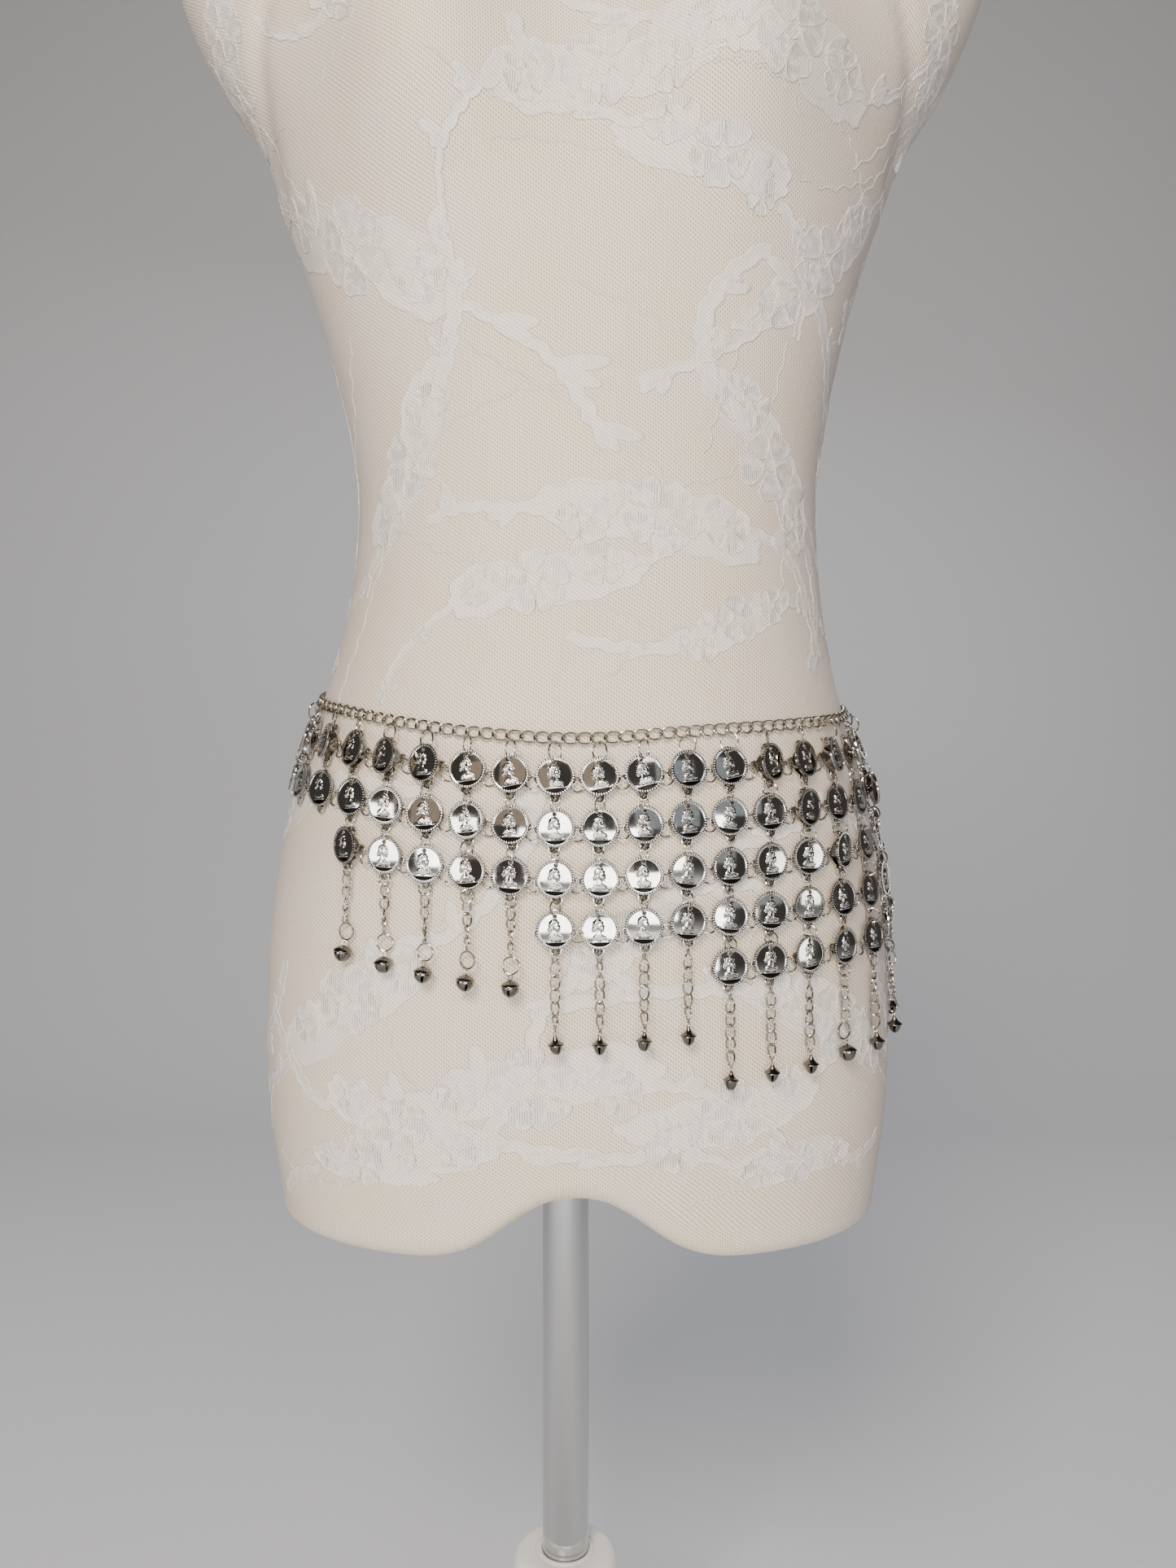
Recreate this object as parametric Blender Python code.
"""Coin waist chain on a dress form: a net of coins and bells hung from a waist chain.

Metres, +Z up, the front towards -Y. The origin is the middle of the stand's underside,
on the pole's axis. The form carries the chain, and the stand carries the form.
"""

import math

import bmesh
import bpy
from mathutils import Vector

# General gaps and facets
SEAM_GAP = 0.0003
ROUND_SIDES = 24
FORM_SIDES = 40
# how far the form's facets crowd towards the front and back, where the arch is
FRONT_CROWDING = 0.5

# Stand
POLE_RADIUS = 0.0127
POLE_FOOT = 0.0600
SOCKET_RADIUS = POLE_RADIUS + SEAM_GAP
BASE_RADIUS = 0.1400
BASE_THICKNESS = 0.0120
BASE_EDGE = 0.0030
HUB_RADIUS = 0.0283
HUB_TOP = 0.1540
HUB_HEIGHT = 0.0240
HUB_EDGE = 0.0050
POST_FOOT_RADIUS = 0.0260
POST_TOP_RADIUS = 0.0215
POST_FLARE = 0.0100

# Form underside: two rounded lobes with an arch between them for the pole
LOBE_BOTTOM = 0.3440
ARCH_RISE = 0.0330
ARCH_HALF_WIDTH = 0.0425
ARCH_MIDDLE = 0.0070
ARCH_SQUARENESS = 2.4
SOCKET_DEPTH = 0.0550
SOCKET_TOP = LOBE_BOTTOM + ARCH_RISE + SOCKET_DEPTH

# Sections of the form, bottom to top:
# height, half width, front depth, back depth, squareness, sideways shift from the pole
FORM_SECTIONS = (
    (0.3440, 0.1580, 0.087, 0.106, 2.35, 0.0070),
    (0.3720, 0.1619, 0.092, 0.112, 2.30, 0.0070),
    (0.4000, 0.1658, 0.096, 0.118, 2.30, 0.0070),
    (0.4300, 0.1676, 0.098, 0.121, 2.25, 0.0070),
    (0.4600, 0.1680, 0.099, 0.122, 2.20, 0.0070),
    (0.5000, 0.1663, 0.100, 0.120, 2.20, 0.0070),
    (0.5400, 0.1612, 0.102, 0.114, 2.15, 0.0075),
    (0.5800, 0.1520, 0.102, 0.104, 2.15, 0.0080),
    (0.6120, 0.1423, 0.100, 0.096, 2.10, 0.0086),
    (0.6480, 0.1328, 0.092, 0.086, 2.10, 0.0100),
    (0.6840, 0.1268, 0.087, 0.079, 2.10, 0.0115),
    (0.7150, 0.1246, 0.084, 0.076, 2.10, 0.0120),
    (0.7400, 0.1256, 0.084, 0.077, 2.10, 0.0120),
    (0.7740, 0.1310, 0.086, 0.081, 2.10, 0.0115),
    (0.8100, 0.1394, 0.089, 0.088, 2.15, 0.0106),
    (0.8460, 0.1496, 0.092, 0.095, 2.20, 0.0097),
    (0.8820, 0.1621, 0.094, 0.101, 2.25, 0.0095),
    (0.9180, 0.1745, 0.093, 0.105, 2.30, 0.0105),
    (0.9540, 0.1975, 0.088, 0.106, 2.25, 0.0095),
    (0.9900, 0.2145, 0.081, 0.103, 2.20, 0.0088),
    (1.0200, 0.2225, 0.074, 0.097, 2.15, 0.0090),
    (1.0450, 0.2200, 0.067, 0.088, 2.10, 0.0090),
    (1.0650, 0.2040, 0.061, 0.078, 2.05, 0.0090),
    (1.0800, 0.1680, 0.057, 0.069, 2.00, 0.0090),
    (1.0920, 0.1200, 0.055, 0.062, 2.00, 0.0090),
    (1.1050, 0.0790, 0.053, 0.057, 2.00, 0.0090),
    (1.1250, 0.0620, 0.052, 0.054, 2.00, 0.0090),
    (1.1500, 0.0580, 0.051, 0.053, 2.00, 0.0090),
)

# Bust: height, how far each side stands out beyond the section
BUST_ROWS = (
    (0.830, 0.000),
    (0.860, 0.006),
    (0.890, 0.017),
    (0.920, 0.026),
    (0.950, 0.027),
    (0.985, 0.018),
    (1.020, 0.006),
    (1.050, 0.000),
)
BUST_HALF_SPACING = 0.082
BUST_HALF_WIDTH = 0.050

# Rounding of the underside's edge: how far in from the wall, how far above the lobe
EDGE_ROWS = (
    (1.000, 0.0150),
    (0.988, 0.0070),
    (0.955, 0.0020),
    (0.900, 0.0003),
    (0.640, 0.0000),
    (0.320, 0.0000),
)

# Waist chain: angle round the form from the front in degrees, height of its middle
CHAIN_LINE = (
    (-180, 0.6400),
    (-120, 0.6320),
    (-74, 0.6178),
    (-53, 0.6113),
    (-35, 0.6045),
    (-18, 0.5990),
    (0, 0.5960),
    (17, 0.5990),
    (33, 0.6019),
    (50, 0.6050),
    (71, 0.6098),
    (120, 0.6280),
    (180, 0.6400),
)
CHAIN_STANDOFF = 0.0004
LINK_PITCH = 0.0065
LINK_HALF_HEIGHT = 0.0029
LINK_THICKNESS = 0.0022
LINK_NECK_SHARE = 0.72
CLASP_LENGTH = 0.0150
CLASP_HALF_HEIGHT = 0.0035
CLASP_RING_RADIUS = 0.0042
CLASP_WIRE_RADIUS = 0.0007

# The net: columns are counted from the one nearest the front's middle
COLUMN_PITCH = 0.0205
FRONT_COLUMN_ARC = -0.0110
FIRST_ROW_DROP = 0.0178
ROW_PITCH = 0.0237
# first column, last column, rows of coins, ends in a bell
NET_GROUPS = (
    (-10, -6, 2, False),
    (-5, -1, 3, True),
    (0, 3, 4, True),
    (4, 11, 5, True),
)

# Coins and the four-lobed plates behind them
COIN_STANDOFF = 0.0008
COIN_SIDES = 12
COIN_RADIUS = 0.0091
PLATE_THICKNESS = 0.0010
RIM_HEIGHT = 0.0020
DOME_HEIGHT = 0.0027
SIDE_LOBE_REACH = 0.0099
TOP_LOBE_REACH = 0.0095
BOTTOM_LOBE_REACH = 0.0124
NOTCH_RADIUS = 0.0087
RING_HALF_WIDTH = 0.0011
RING_THICKNESS = 0.0018
NECK_HALF_GAP = (ROW_PITCH - TOP_LOBE_REACH - BOTTOM_LOBE_REACH) / 2
# between the chain's lower edge and the top of a strand, where the chain slopes
HOOK_GAP = SEAM_GAP + 0.0001

# Drop chains and bells
DROP_HANG = 0.0035
DROP_LINKS = 6
DROP_PITCH = 0.0067
DROP_HALF_WIDTH = 0.0026
DROP_NECK_HALF_WIDTH = 0.0010
DROP_HALF_DEPTH = 0.0009
DROP_MIDDLE = 0.0016
BELL_MIDDLE = 0.0043
BELL_SIDES = 8
# distance below the bell's top, radius
BELL_ROWS = (
    (0.0000, 0.0012),
    (0.0012, 0.0028),
    (0.0032, 0.0038),
    (0.0041, 0.0043),
    (0.0062, 0.0031),
    (0.0080, 0.0015),
)
PATH_STEP = 0.0010
PATH_SPARE = 0.0200


def clear_scene():
    for item in list(bpy.data.objects):
        bpy.data.objects.remove(item, do_unlink=True)


def finish_material(name, colour, roughness, metallic):
    """A Principled material with the part's plain colour."""
    material = bpy.data.materials.new(name)
    material.use_nodes = True
    shader = material.node_tree.nodes["Principled BSDF"]
    shader.inputs["Base Color"].default_value = (*colour, 1.0)
    shader.inputs["Roughness"].default_value = roughness
    shader.inputs["Metallic"].default_value = metallic
    return material


def solid(name, build, material):
    """An object from what build(bm) puts in a fresh mesh, with its faces turned outwards."""
    bm = bmesh.new()
    build(bm)
    bmesh.ops.recalc_face_normals(bm, faces=bm.faces)
    mesh = bpy.data.meshes.new(name)
    bm.to_mesh(mesh)
    bm.free()
    mesh.shade_smooth()
    mesh.set_sharp_from_angle(angle=math.radians(35))
    mesh.materials.append(material)
    item = bpy.data.objects.new(name, mesh)
    bpy.context.scene.collection.objects.link(item)
    return item


def smooth_value(rows, at, column):
    """One column of a table, read between its rows on a smooth curve."""
    if at <= rows[0][0]:
        return rows[0][column]
    if at >= rows[-1][0]:
        return rows[-1][column]
    low = max(i for i in range(len(rows) - 1) if rows[i][0] <= at)

    def slope(i):
        before, after = rows[max(i - 1, 0)], rows[min(i + 1, len(rows) - 1)]
        return (after[column] - before[column]) / (after[0] - before[0])

    span = rows[low + 1][0] - rows[low][0]
    t = (at - rows[low][0]) / span
    start, end = rows[low][column], rows[low + 1][column]
    leave, arrive = slope(low) * span, slope(low + 1) * span
    return ((2 * t**3 - 3 * t**2 + 1) * start + (t**3 - 2 * t**2 + t) * leave
            + (3 * t**2 - 2 * t**3) * end + (t**3 - t**2) * arrive)


def form_point(angle, height, standoff=0.0):
    """A point of the form's side. Angle 0 is the front and grows towards +X."""
    half_width, front, back, squareness, shift = (
        smooth_value(FORM_SECTIONS, height, column) for column in range(1, 6))
    sine, cosine = math.sin(angle), math.cos(angle)
    power = 2.0 / squareness
    depth = front if cosine >= 0 else back
    x = (half_width + standoff) * math.copysign(abs(sine)**power, sine)
    y = -(depth + standoff) * math.copysign(abs(cosine)**power, cosine)
    if cosine > 0:
        away = (abs(x) - BUST_HALF_SPACING) / BUST_HALF_WIDTH
        y -= smooth_value(BUST_ROWS, height, 1) * math.exp(-away**2) * cosine
    return Vector((x + shift, y, height))


def form_normal(angle, height):
    """The outward direction of the form's side at a point."""
    step = 0.0005
    across = form_point(angle + step, height) - form_point(angle - step, height)
    up = form_point(angle, height + step) - form_point(angle, height - step)
    return across.cross(up).normalized()


def chain_height(angle):
    return smooth_value(CHAIN_LINE, math.degrees(angle), 1)


def add_loop(bm, points):
    return [bm.verts.new(point) for point in points]


def join_loops(bm, first, second):
    """A closed band of quads between two loops with as many points."""
    count = len(first)
    for i in range(count):
        j = (i + 1) % count
        bm.faces.new((first[i], first[j], second[j], second[i]))


def turned(rows, sides=ROUND_SIDES):
    """A builder for a shape turned round the pole's axis from (radius, height) rows."""
    def build(bm):
        loops = []
        for radius, height in rows:
            angles = [math.tau * i / sides for i in range(sides)]
            loops.append(add_loop(bm, [
                (radius * math.cos(a), radius * math.sin(a), height) for a in angles]))
        for upper, lower in zip(loops, loops[1:]):
            join_loops(bm, upper, lower)
        bm.faces.new(loops[0])
        bm.faces.new(loops[-1])
    return build


def turned_ring(rows, sides=ROUND_SIDES):
    """A builder for a ring turned from a closed outline of (radius, height) rows."""
    def build(bm):
        loops = []
        for radius, height in rows:
            angles = [math.tau * i / sides for i in range(sides)]
            loops.append(add_loop(bm, [
                (radius * math.cos(a), radius * math.sin(a), height) for a in angles]))
        for upper, lower in zip(loops, loops[1:] + loops[:1]):
            join_loops(bm, upper, lower)
    return build


def underside_height(x):
    """Height of the form's underside: the arch in the middle, a lobe on each side."""
    away = abs(x - ARCH_MIDDLE) / ARCH_HALF_WIDTH
    return LOBE_BOTTOM + ARCH_RISE * math.exp(-away**ARCH_SQUARENESS)


def form_angles():
    """Angles of the form's facets, closer together at the front and the back."""
    even = [math.tau * i / FORM_SIDES for i in range(FORM_SIDES)]
    return [angle - FRONT_CROWDING / 2 * math.sin(2 * angle) for angle in even]


def build_form(bm):
    """The torso's skin: rings up the sections, with the rounded lobes underneath."""
    angles = form_angles()
    edge_height = EDGE_ROWS[0][1]
    loops = []
    for inward, rise in reversed(EDGE_ROWS):
        points = []
        for angle in angles:
            rough = form_point(angle, LOBE_BOTTOM + edge_height)
            wall = form_point(angle, underside_height(rough.x) + edge_height)
            x = ARCH_MIDDLE + (wall.x - ARCH_MIDDLE) * inward
            y = wall.y * inward
            points.append((x, y, underside_height(x) + rise))
        loops.append(add_loop(bm, points))
    for row in FORM_SECTIONS:
        height = row[0]
        if height > LOBE_BOTTOM + ARCH_RISE + edge_height:
            loops.append(add_loop(bm, [form_point(angle, height) for angle in angles]))
    for lower, upper in zip(loops, loops[1:]):
        join_loops(bm, lower, upper)
    middle = bm.verts.new((ARCH_MIDDLE, 0, underside_height(ARCH_MIDDLE)))
    for i in range(FORM_SIDES):
        bm.faces.new((middle, loops[0][i], loops[0][(i + 1) % FORM_SIDES]))
    bm.faces.new(loops[-1])


def bore_pole_socket(form, material):
    """A blind hole up into the form from the arch, for the top of the pole."""
    below = LOBE_BOTTOM - SOCKET_DEPTH
    cutter = solid("pole_socket_cutter",
                   turned(((SOCKET_RADIUS, SOCKET_TOP), (SOCKET_RADIUS, below))), material)
    cutter.hide_render = True
    cutter.display_type = "WIRE"
    cut = form.modifiers.new("pole socket", "BOOLEAN")
    cut.operation = "DIFFERENCE"
    cut.solver = "EXACT"
    cut.object = cutter


def build_stand(chrome, white):
    """Base plate, post, hub collar and the chrome pole."""
    post_bottom = BASE_THICKNESS + SEAM_GAP
    hub_bottom = HUB_TOP - HUB_HEIGHT
    solid("stand_base", turned((
        (BASE_RADIUS - BASE_EDGE, 0.0),
        (BASE_RADIUS, BASE_EDGE),
        (BASE_RADIUS, BASE_THICKNESS - BASE_EDGE),
        (BASE_RADIUS - BASE_EDGE, BASE_THICKNESS),
    ), sides=2 * ROUND_SIDES), white)
    solid("stand_post", turned((
        (POST_FOOT_RADIUS + POST_FLARE, post_bottom),
        (POST_FOOT_RADIUS + 0.8 * POST_FLARE, post_bottom + 0.4 * POST_FLARE),
        (POST_FOOT_RADIUS, post_bottom + 1.2 * POST_FLARE),
        (POST_TOP_RADIUS, hub_bottom - SEAM_GAP),
        (SOCKET_RADIUS, hub_bottom - SEAM_GAP),
        (SOCKET_RADIUS, POLE_FOOT - SEAM_GAP),
    )), white)
    solid("stand_hub", turned_ring((
        (SOCKET_RADIUS, hub_bottom),
        (HUB_RADIUS - HUB_EDGE, hub_bottom),
        (HUB_RADIUS, hub_bottom + HUB_EDGE),
        (HUB_RADIUS, HUB_TOP - HUB_EDGE),
        (HUB_RADIUS - 0.3 * HUB_EDGE, HUB_TOP - 0.3 * HUB_EDGE),
        (HUB_RADIUS - HUB_EDGE, HUB_TOP),
        (SOCKET_RADIUS, HUB_TOP),
    )), white)
    solid("stand_pole", turned((
        (POLE_RADIUS, POLE_FOOT),
        (POLE_RADIUS, SOCKET_TOP - SEAM_GAP),
    )), chrome)


def chain_points():
    """The chain's line round the form: angle, point and distance from the front."""
    count = 720
    rows = []
    for i in range(-count // 2, count // 2 + 1):
        angle = math.tau * i / count
        point = form_point(angle, chain_height(angle), CHAIN_STANDOFF)
        rows.append([angle, point, 0.0])
    for before, after in zip(rows, rows[1:]):
        after[2] = before[2] + (after[1] - before[1]).length
    middle = rows[count // 2][2]
    for row in rows:
        row[2] -= middle
    return rows


def chain_angle(rows, distance):
    """The angle at a distance along the chain from the front."""
    for before, after in zip(rows, rows[1:]):
        if after[2] >= distance:
            part = (distance - before[2]) / (after[2] - before[2])
            return before[0] + part * (after[0] - before[0])
    return rows[-1][0]


def chain_frame(angle):
    """Point and axes on the chain's line: along it, up the form, and outwards."""
    point = form_point(angle, chain_height(angle), CHAIN_STANDOFF)
    step = 0.002
    ahead = form_point(angle + step, chain_height(angle + step), CHAIN_STANDOFF)
    along = (ahead - point).normalized()
    out = form_normal(angle, point.z)
    up = out.cross(along).normalized()
    return point, along, up, along.cross(up).normalized()


def build_waist_chain(rows, start, end):
    """A tube with a swelling at each curb link, open where the clasp joins its ends."""
    def build(bm):
        links = round((end - start) / LINK_PITCH)
        loops = []
        for i in range(2 * links + 1):
            distance = start + (end - start) * i / (2 * links)
            point, _, up, out = chain_frame(chain_angle(rows, distance))
            swell = LINK_HALF_HEIGHT if i % 2 else LINK_NECK_SHARE * LINK_HALF_HEIGHT
            depth = LINK_THICKNESS if i % 2 else LINK_NECK_SHARE * LINK_THICKNESS
            loops.append(add_loop(bm, (
                point - up * swell * 0.8, point - up * swell + out * depth * 0.75,
                point + up * swell + out * depth * 0.75, point + up * swell * 0.8)))
        for before, after in zip(loops, loops[1:]):
            join_loops(bm, before, after)
        bm.faces.new(loops[0])
        bm.faces.new(loops[-1])
    return build


def build_clasp(rows, middle):
    """A slim closed hook between the chain's two ends at the back."""
    def build(bm):
        profile = ((-0.5, 0.25), (-0.36, 0.7), (0.0, 1.0), (0.36, 0.7), (0.5, 0.25))
        loops = []
        for part, size in profile:
            distance = middle + part * CLASP_LENGTH
            point, _, up, out = chain_frame(chain_angle(rows, distance))
            high = CLASP_HALF_HEIGHT * size
            deep = LINK_THICKNESS * (0.6 + 0.4 * size)
            loops.append(add_loop(bm, (
                point - up * high * 0.7, point - up * high + out * deep * 0.5,
                point - up * high * 0.6 + out * deep, point + up * high * 0.6 + out * deep,
                point + up * high + out * deep * 0.5, point + up * high * 0.7)))
        for before, after in zip(loops, loops[1:]):
            join_loops(bm, before, after)
        bm.faces.new(loops[0])
        bm.faces.new(loops[-1])
    return build


def build_clasp_ring(rows, middle):
    """The round ring that the clasp closes on, flat against the form."""
    def build(bm):
        point, along, up, out = chain_frame(chain_angle(rows, middle))
        centre = point + out * (CLASP_WIRE_RADIUS + SEAM_GAP)
        inner = CLASP_RING_RADIUS - 2 * CLASP_WIRE_RADIUS
        loops = []
        for i in range(10):
            turn = math.tau * i / 10
            spoke = along * math.cos(turn) + up * math.sin(turn)
            core = centre + spoke * (inner + CLASP_WIRE_RADIUS)
            loops.append(add_loop(bm, (
                core + spoke * CLASP_WIRE_RADIUS, core + out * CLASP_WIRE_RADIUS,
                core - spoke * CLASP_WIRE_RADIUS, core - out * CLASP_WIRE_RADIUS)))
        for before, after in zip(loops, loops[1:] + loops[:1]):
            join_loops(bm, before, after)
    return build


def hanging_path(angle, length):
    """Points a step apart where a strand hangs from the chain against the form.

    It runs straight down the form's slope, and where the form draws in again it
    hangs on downwards clear of it. Each row is a point and the direction outwards.
    """
    height = chain_height(angle)
    place = form_point(angle, height, COIN_STANDOFF)
    path = [(place, form_normal(angle, height))]
    probe = 0.0005
    while (len(path) - 1) * PATH_STEP < length:
        across = form_point(angle + probe, height) - form_point(angle - probe, height)
        down = form_point(angle, height - probe) - form_point(angle, height + probe)
        across.z = 0
        slope = down.xy / (2 * probe)
        turn = -across.xy.dot(slope) / across.xy.dot(across.xy) * 2 * probe
        fall = PATH_STEP / math.sqrt(1 + slope.length_squared)
        angle += turn * fall
        height -= fall
        surface = form_point(angle, height, COIN_STANDOFF)
        out = form_normal(angle, height)
        hang = Vector((place.x, place.y, height))
        flat_out = Vector((out.x, out.y, 0)).normalized()
        place = surface if (surface - hang).dot(flat_out) > 0 else hang
        path.append((place, out))
    return path


def path_frame(path, distance):
    """Point and axes at a distance down a strand: right, up and outwards."""
    at = min(max(distance / PATH_STEP, 0.0), len(path) - 1.001)
    low = int(at)
    part = at - low
    point = path[low][0].lerp(path[low + 1][0], part)
    out = path[low][1].lerp(path[low + 1][1], part).normalized()
    before, after = path[max(low - 4, 0)][0], path[min(low + 5, len(path) - 1)][0]
    up = (before - after).normalized()
    right = up.cross(out).normalized()
    return point, right, up, right.cross(up).normalized()


def plate_radius(turn):
    """How far the four-lobed plate reaches in a direction, as a distance from its middle."""
    quarter = round(math.degrees(turn)) % 360
    reach = {15: SIDE_LOBE_REACH, 75: TOP_LOBE_REACH, 105: TOP_LOBE_REACH,
             165: SIDE_LOBE_REACH, 195: SIDE_LOBE_REACH, 255: BOTTOM_LOBE_REACH,
             285: BOTTOM_LOBE_REACH, 345: SIDE_LOBE_REACH}.get(quarter)
    if reach is None:
        return NOTCH_RADIUS
    return reach / math.cos(math.radians(15))


def add_coin(bm, path, distance):
    """One coin on its plate. Its top and bottom faces stay open for the rings."""
    point, right, up, out = path_frame(path, distance)
    turns = [math.radians(15 + 360 / COIN_SIDES * i) for i in range(COIN_SIDES)]
    spokes = [right * math.cos(turn) + up * math.sin(turn) for turn in turns]
    back = add_loop(bm, [point + spoke * plate_radius(turn)
                         for spoke, turn in zip(spokes, turns)])
    rim = add_loop(bm, [point + spoke * COIN_RADIUS + out * PLATE_THICKNESS
                        for spoke in spokes])
    edge = add_loop(bm, [point + spoke * COIN_RADIUS + out * RIM_HEIGHT for spoke in spokes])
    middle = bm.verts.new(point + out * DOME_HEIGHT)
    bm.faces.new(back)
    join_loops(bm, rim, edge)
    for i in range(COIN_SIDES):
        j = (i + 1) % COIN_SIDES
        bm.faces.new((edge[i], edge[j], middle))
        if i not in (2, 8):
            bm.faces.new((back[i], back[j], rim[j], rim[i]))
    top = (back[3], back[2], rim[2], rim[3])
    bottom = (back[8], back[9], rim[9], rim[8])
    return top, bottom


def bar_loop(bm, path, distance, half_width, low, high):
    """Four corners across a strand, from low to high above the strand's back."""
    point, right, _, out = path_frame(path, distance)
    return add_loop(bm, (
        point - right * half_width + out * low, point + right * half_width + out * low,
        point + right * half_width + out * high, point - right * half_width + out * high))


def add_drop(bm, path, start, last):
    """The drop chain below the lowest coin and the bell at its end."""
    for i in range(2 * DROP_LINKS - 1):
        wide = i % 2 == 1
        half_width = DROP_HALF_WIDTH if wide else DROP_NECK_HALF_WIDTH
        half_depth = DROP_HALF_DEPTH * (0.8 if wide else 1.0)
        loop = bar_loop(bm, path, start + DROP_PITCH * i / 2, half_width,
                        DROP_MIDDLE - half_depth, DROP_MIDDLE + half_depth)
        join_loops(bm, last, loop)
        last = loop
    bell_top = start + DROP_PITCH * (DROP_LINKS - 0.75)
    rings = []
    for below, radius in BELL_ROWS:
        point, right, _, out = path_frame(path, bell_top + below)
        middle = point + out * BELL_MIDDLE
        turns = [math.radians(225 - 22.5 + 45 * i) for i in range(BELL_SIDES)]
        rings.append(add_loop(bm, [
            middle + (right * math.cos(turn) + out * math.sin(turn)) * radius
            for turn in turns]))
    for i in range(4):
        j = (i + 1) % 4
        first, second = rings[0][2 * i], rings[0][2 * i + 1]
        after = rings[0][(2 * i + 2) % BELL_SIDES]
        bm.faces.new((last[i], first, second))
        bm.faces.new((last[i], second, after, last[j]))
    for before, after in zip(rings, rings[1:]):
        join_loops(bm, before, after)
    bm.faces.new(rings[-1])


def build_strand(chain_rows, column, coins, has_bell):
    """One column of the net: its coins and rings, and the drop chain with its bell."""
    def build(bm):
        arc = FRONT_COLUMN_ARC + column * COLUMN_PITCH
        lowest = FIRST_ROW_DROP + ROW_PITCH * (coins - 1)
        drop_start = lowest + BOTTOM_LOBE_REACH + DROP_HANG
        length = drop_start + DROP_PITCH * DROP_LINKS + PATH_SPARE
        path = hanging_path(chain_angle(chain_rows, arc), length)
        hook = LINK_HALF_HEIGHT + HOOK_GAP
        last = bar_loop(bm, path, hook, RING_HALF_WIDTH, 0.0, RING_THICKNESS)
        bm.faces.new(last)
        for row in range(coins):
            centre = FIRST_ROW_DROP + ROW_PITCH * row
            top, bottom = add_coin(bm, path, centre)
            if row:
                middle = centre - TOP_LOBE_REACH - NECK_HALF_GAP
                neck = bar_loop(bm, path, middle, RING_HALF_WIDTH, 0.0, RING_THICKNESS)
                join_loops(bm, last, neck)
                last = neck
            join_loops(bm, last, top)
            last = bottom
        if has_bell:
            add_drop(bm, path, drop_start, last)
        else:
            end = bar_loop(bm, path, lowest + BOTTOM_LOBE_REACH + SEAM_GAP,
                           RING_HALF_WIDTH, 0.0, PLATE_THICKNESS)
            join_loops(bm, last, end)
            bm.faces.new(end)
    return build


def main():
    clear_scene()
    fabric = finish_material("ivory stretch lace", (0.80, 0.77, 0.72), 0.8, 0.0)
    chrome = finish_material("chrome tube", (0.60, 0.60, 0.60), 0.08, 1.0)
    white = finish_material("white gloss paint", (0.85, 0.85, 0.85), 0.2, 0.0)
    nickel = finish_material("nickel plate", (0.62, 0.60, 0.57), 0.2, 1.0)

    form = solid("form_torso", build_form, fabric)
    bore_pole_socket(form, fabric)
    build_stand(chrome, white)

    rows = chain_points()
    first, last = rows[0][2], rows[-1][2]
    ring_length = 2 * CLASP_RING_RADIUS
    chain_end = last - ring_length / 2 - SEAM_GAP
    chain_start = first + ring_length / 2 + CLASP_LENGTH + 2 * SEAM_GAP
    solid("waist_chain", build_waist_chain(rows, chain_start, chain_end), nickel)
    solid("clasp_ring", build_clasp_ring(rows, first), nickel)
    clasp_middle = first + ring_length / 2 + SEAM_GAP + CLASP_LENGTH / 2
    solid("clasp_hook", build_clasp(rows, clasp_middle), nickel)

    number = 1
    for first_column, last_column, coins, has_bell in NET_GROUPS:
        for column in range(first_column, last_column + 1):
            solid(f"coin_strand_{number:02d}",
                  build_strand(rows, column, coins, has_bell), nickel)
            number += 1


main()
